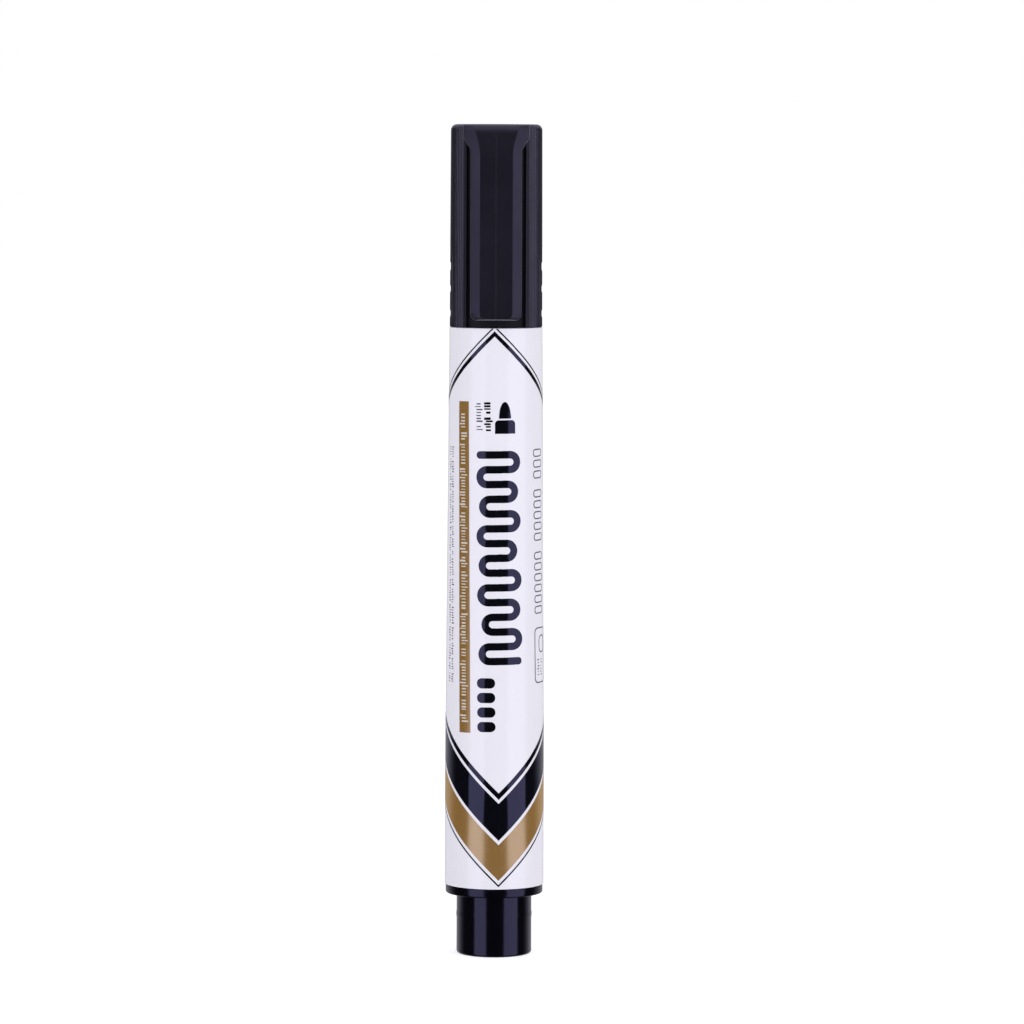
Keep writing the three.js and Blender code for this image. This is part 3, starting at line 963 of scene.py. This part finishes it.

# ---- clip ----
# Spring clip moulded in one with the cap, of the same satin black. A flat front between two
# sloped rails, a rounded free end with a small nub behind it, and a root that flares into the
# cap's wall.
clip_low, clip_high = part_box("cap_clip")
clip_half = clip_high.x / MM
clip_front = -clip_low.y / MM
clip_end = clip_low.z / MM
clip_inner = 7.75
rail_slope = 0.5
flat_half = 2.7
shoulder_half = clip_half - 0.15
shoulder_front = clip_front - rail_slope * (shoulder_half - flat_half)
side_front = shoulder_front - 0.15
clip_corner = 1.1
flare = 1.2
rail_flare_levels = (133.6, 136.4)
flat_flare_levels = (133.5, 138.1)
root_bottom = 134.8
root_round = 1.5
root_drop = 0.2
root_fold_half = 1.3
wall_side_spread = 1.006
nub_half = 2.0
nub_bottom = 107.45
nub_top = 109.45
ridge_half = 0.1
ridge_rise = 0.034
ridge_top = 137
clip = start_artwork("spring_clip")
plate(-clip_half, clip_half, clip_end, cap_top)
pick(lambda x, y, z: z < clip_end + 1)
bpy.ops.mesh.bevel(offset=clip_corner * MM, segments=6, affect="VERTICES")
bpy.ops.mesh.select_all(action="SELECT")
bpy.ops.transform.translate(value=(0, -clip_inner * MM, 0))
layers = ((clip_inner, side_front, clip_half, clip_half, 0),
          (side_front, shoulder_front, clip_half, shoulder_half, 0.1),
          (shoulder_front, clip_front, shoulder_half, flat_half, 0.12))
for y_from, y_to, half_from, half_to, lift in layers:
    bpy.ops.mesh.select_mode(type="FACE")
    bpy.ops.mesh.extrude_region_move(
        TRANSFORM_OT_translate={"value": (0, (y_from - y_to) * MM, 0)})
    bpy.ops.transform.resize(value=(half_to / half_from, 1, 1), center_override=(0, 0, 0))
    bpy.ops.mesh.select_mode(type="VERT")
    if lift:
        pick(lambda x, y, z: abs(y + y_to) < 0.001 and z < clip_end + 1.5)
        bpy.ops.transform.translate(value=(0, 0, lift * MM))
    pick(lambda x, y, z: abs(y + y_to) < 0.001)

flare_levels = (133.2, 133.6, 134.0, 134.4, root_bottom, 135.2, 135.6, 136.0, 136.4)
round_levels = (136.8, 137.25, 137.65, 137.95, 138.15)
for height in (nub_bottom, nub_top, *flare_levels, *round_levels):
    bpy.ops.mesh.select_all(action="SELECT")
    bpy.ops.mesh.bisect(plane_co=(0, 0, height * MM), plane_no=(0, 0, 1))
for half in (0, ridge_half, root_fold_half, nub_half):
    for x in {half, -half}:
        bpy.ops.mesh.select_all(action="SELECT")
        bpy.ops.mesh.bisect(plane_co=(x * MM, 0, 0), plane_no=(1, 0, 0))


def share_up(height, from_height, to_height):
    """How far a height has come between two others, from 0 to 1."""
    return min(max((height - from_height) / (to_height - from_height), 0), 1)


for height in (*flare_levels, *round_levels, cap_top):
    rail_share = share_up(height, *rail_flare_levels)
    rail_flare = flare * rail_share ** 2 * (3 - 2 * rail_share)
    flat_flare = flare * share_up(height, *flat_flare_levels) ** 1.5
    for half, out in ((clip_half, rail_flare), (shoulder_half, rail_flare),
                      (flat_half, flat_flare)):
        pick(lambda x, y, z: abs(z - height) < 0.01 and abs(abs(x) - half) < 0.01)
        bpy.ops.transform.resize(value=((half + out) / half, 1, 1), center_override=(0, 0, 0))
    pick(lambda x, y, z: abs(z - height) < 0.01 and -shoulder_front - 0.01 < y < -side_front + 0.01
         and abs(x) > shoulder_half + rail_flare - 0.01)
    bpy.ops.transform.translate(value=(0, rail_slope * (rail_flare - flat_flare) * MM, 0))
round_from = cap_top - root_round
for height in (*round_levels[1:], cap_top):
    rise = min((height - round_from) / root_round, 1)
    reach = clip_front - root_round + root_round * sqrt(1 - rise * rise)
    pick(lambda x, y, z: abs(z - height) < 0.01 and y < -reach)
    bpy.ops.transform.resize(value=(1, 0, 1), center_override=(0, -reach * MM, 0))
# The root's wall side follows the cap's curve, so it runs further back at the edges.
for half_low, half_high, depth in ((-1, 0.1, 6.9), (1.2, 1.4, 6.78), (1.9, 2.1, 6.6),
                                   (4, 6, 4.6)):
    pick(lambda x, y, z: z > root_bottom - 0.01 and abs(y + clip_inner) < 0.001
         and half_low < abs(x) < half_high)
    bpy.ops.transform.translate(value=(0, (clip_inner - depth) * MM, 0))
bpy.ops.transform.resize(value=(wall_side_spread, 1, 1), center_override=(0, 0, 0))
pick(lambda x, y, z: z > cap_top - 0.01)
bpy.ops.transform.translate(value=(0, 0, -root_drop * MM))
pick(lambda x, y, z: abs(x) < nub_half and nub_bottom < z < nub_top
     and abs(y + clip_inner) < 0.001, "faces")
bpy.ops.mesh.extrude_region_move(TRANSFORM_OT_translate={"value": (0, 0.4 * MM, 0)})
bpy.ops.mesh.extrude_region_move(TRANSFORM_OT_translate={"value": (0, 0.15 * MM, 0)})
bpy.ops.transform.resize(value=(0.9, 1, 0.75),
                         center_override=(0, 0, (nub_bottom + nub_top) / 2 * MM))
pick(lambda x, y, z: abs(x) < ridge_half / 2 and y < -clip_front + 0.01
     and clip_end + 0.6 < z < ridge_top)
bpy.ops.transform.translate(value=(0, -ridge_rise * MM, 0))
pick(lambda x, y, z: abs(x) < ridge_half + 0.01 and y < -clip_front + 0.01)
bpy.ops.mesh.mark_sharp()
bpy.ops.mesh.select_all(action="SELECT")
bpy.ops.mesh.remove_doubles(threshold=0.0005 * MM)
bpy.ops.mesh.select_all(action="SELECT")
bpy.ops.mesh.normals_make_consistent(inside=False)
bpy.ops.object.mode_set(mode="OBJECT")
finish_edges(clip, 0.09, corner=22, smooth=32, clamp=False)
clip.data.materials.append(satin_black)
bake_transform(clip)
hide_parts("cap_clip")
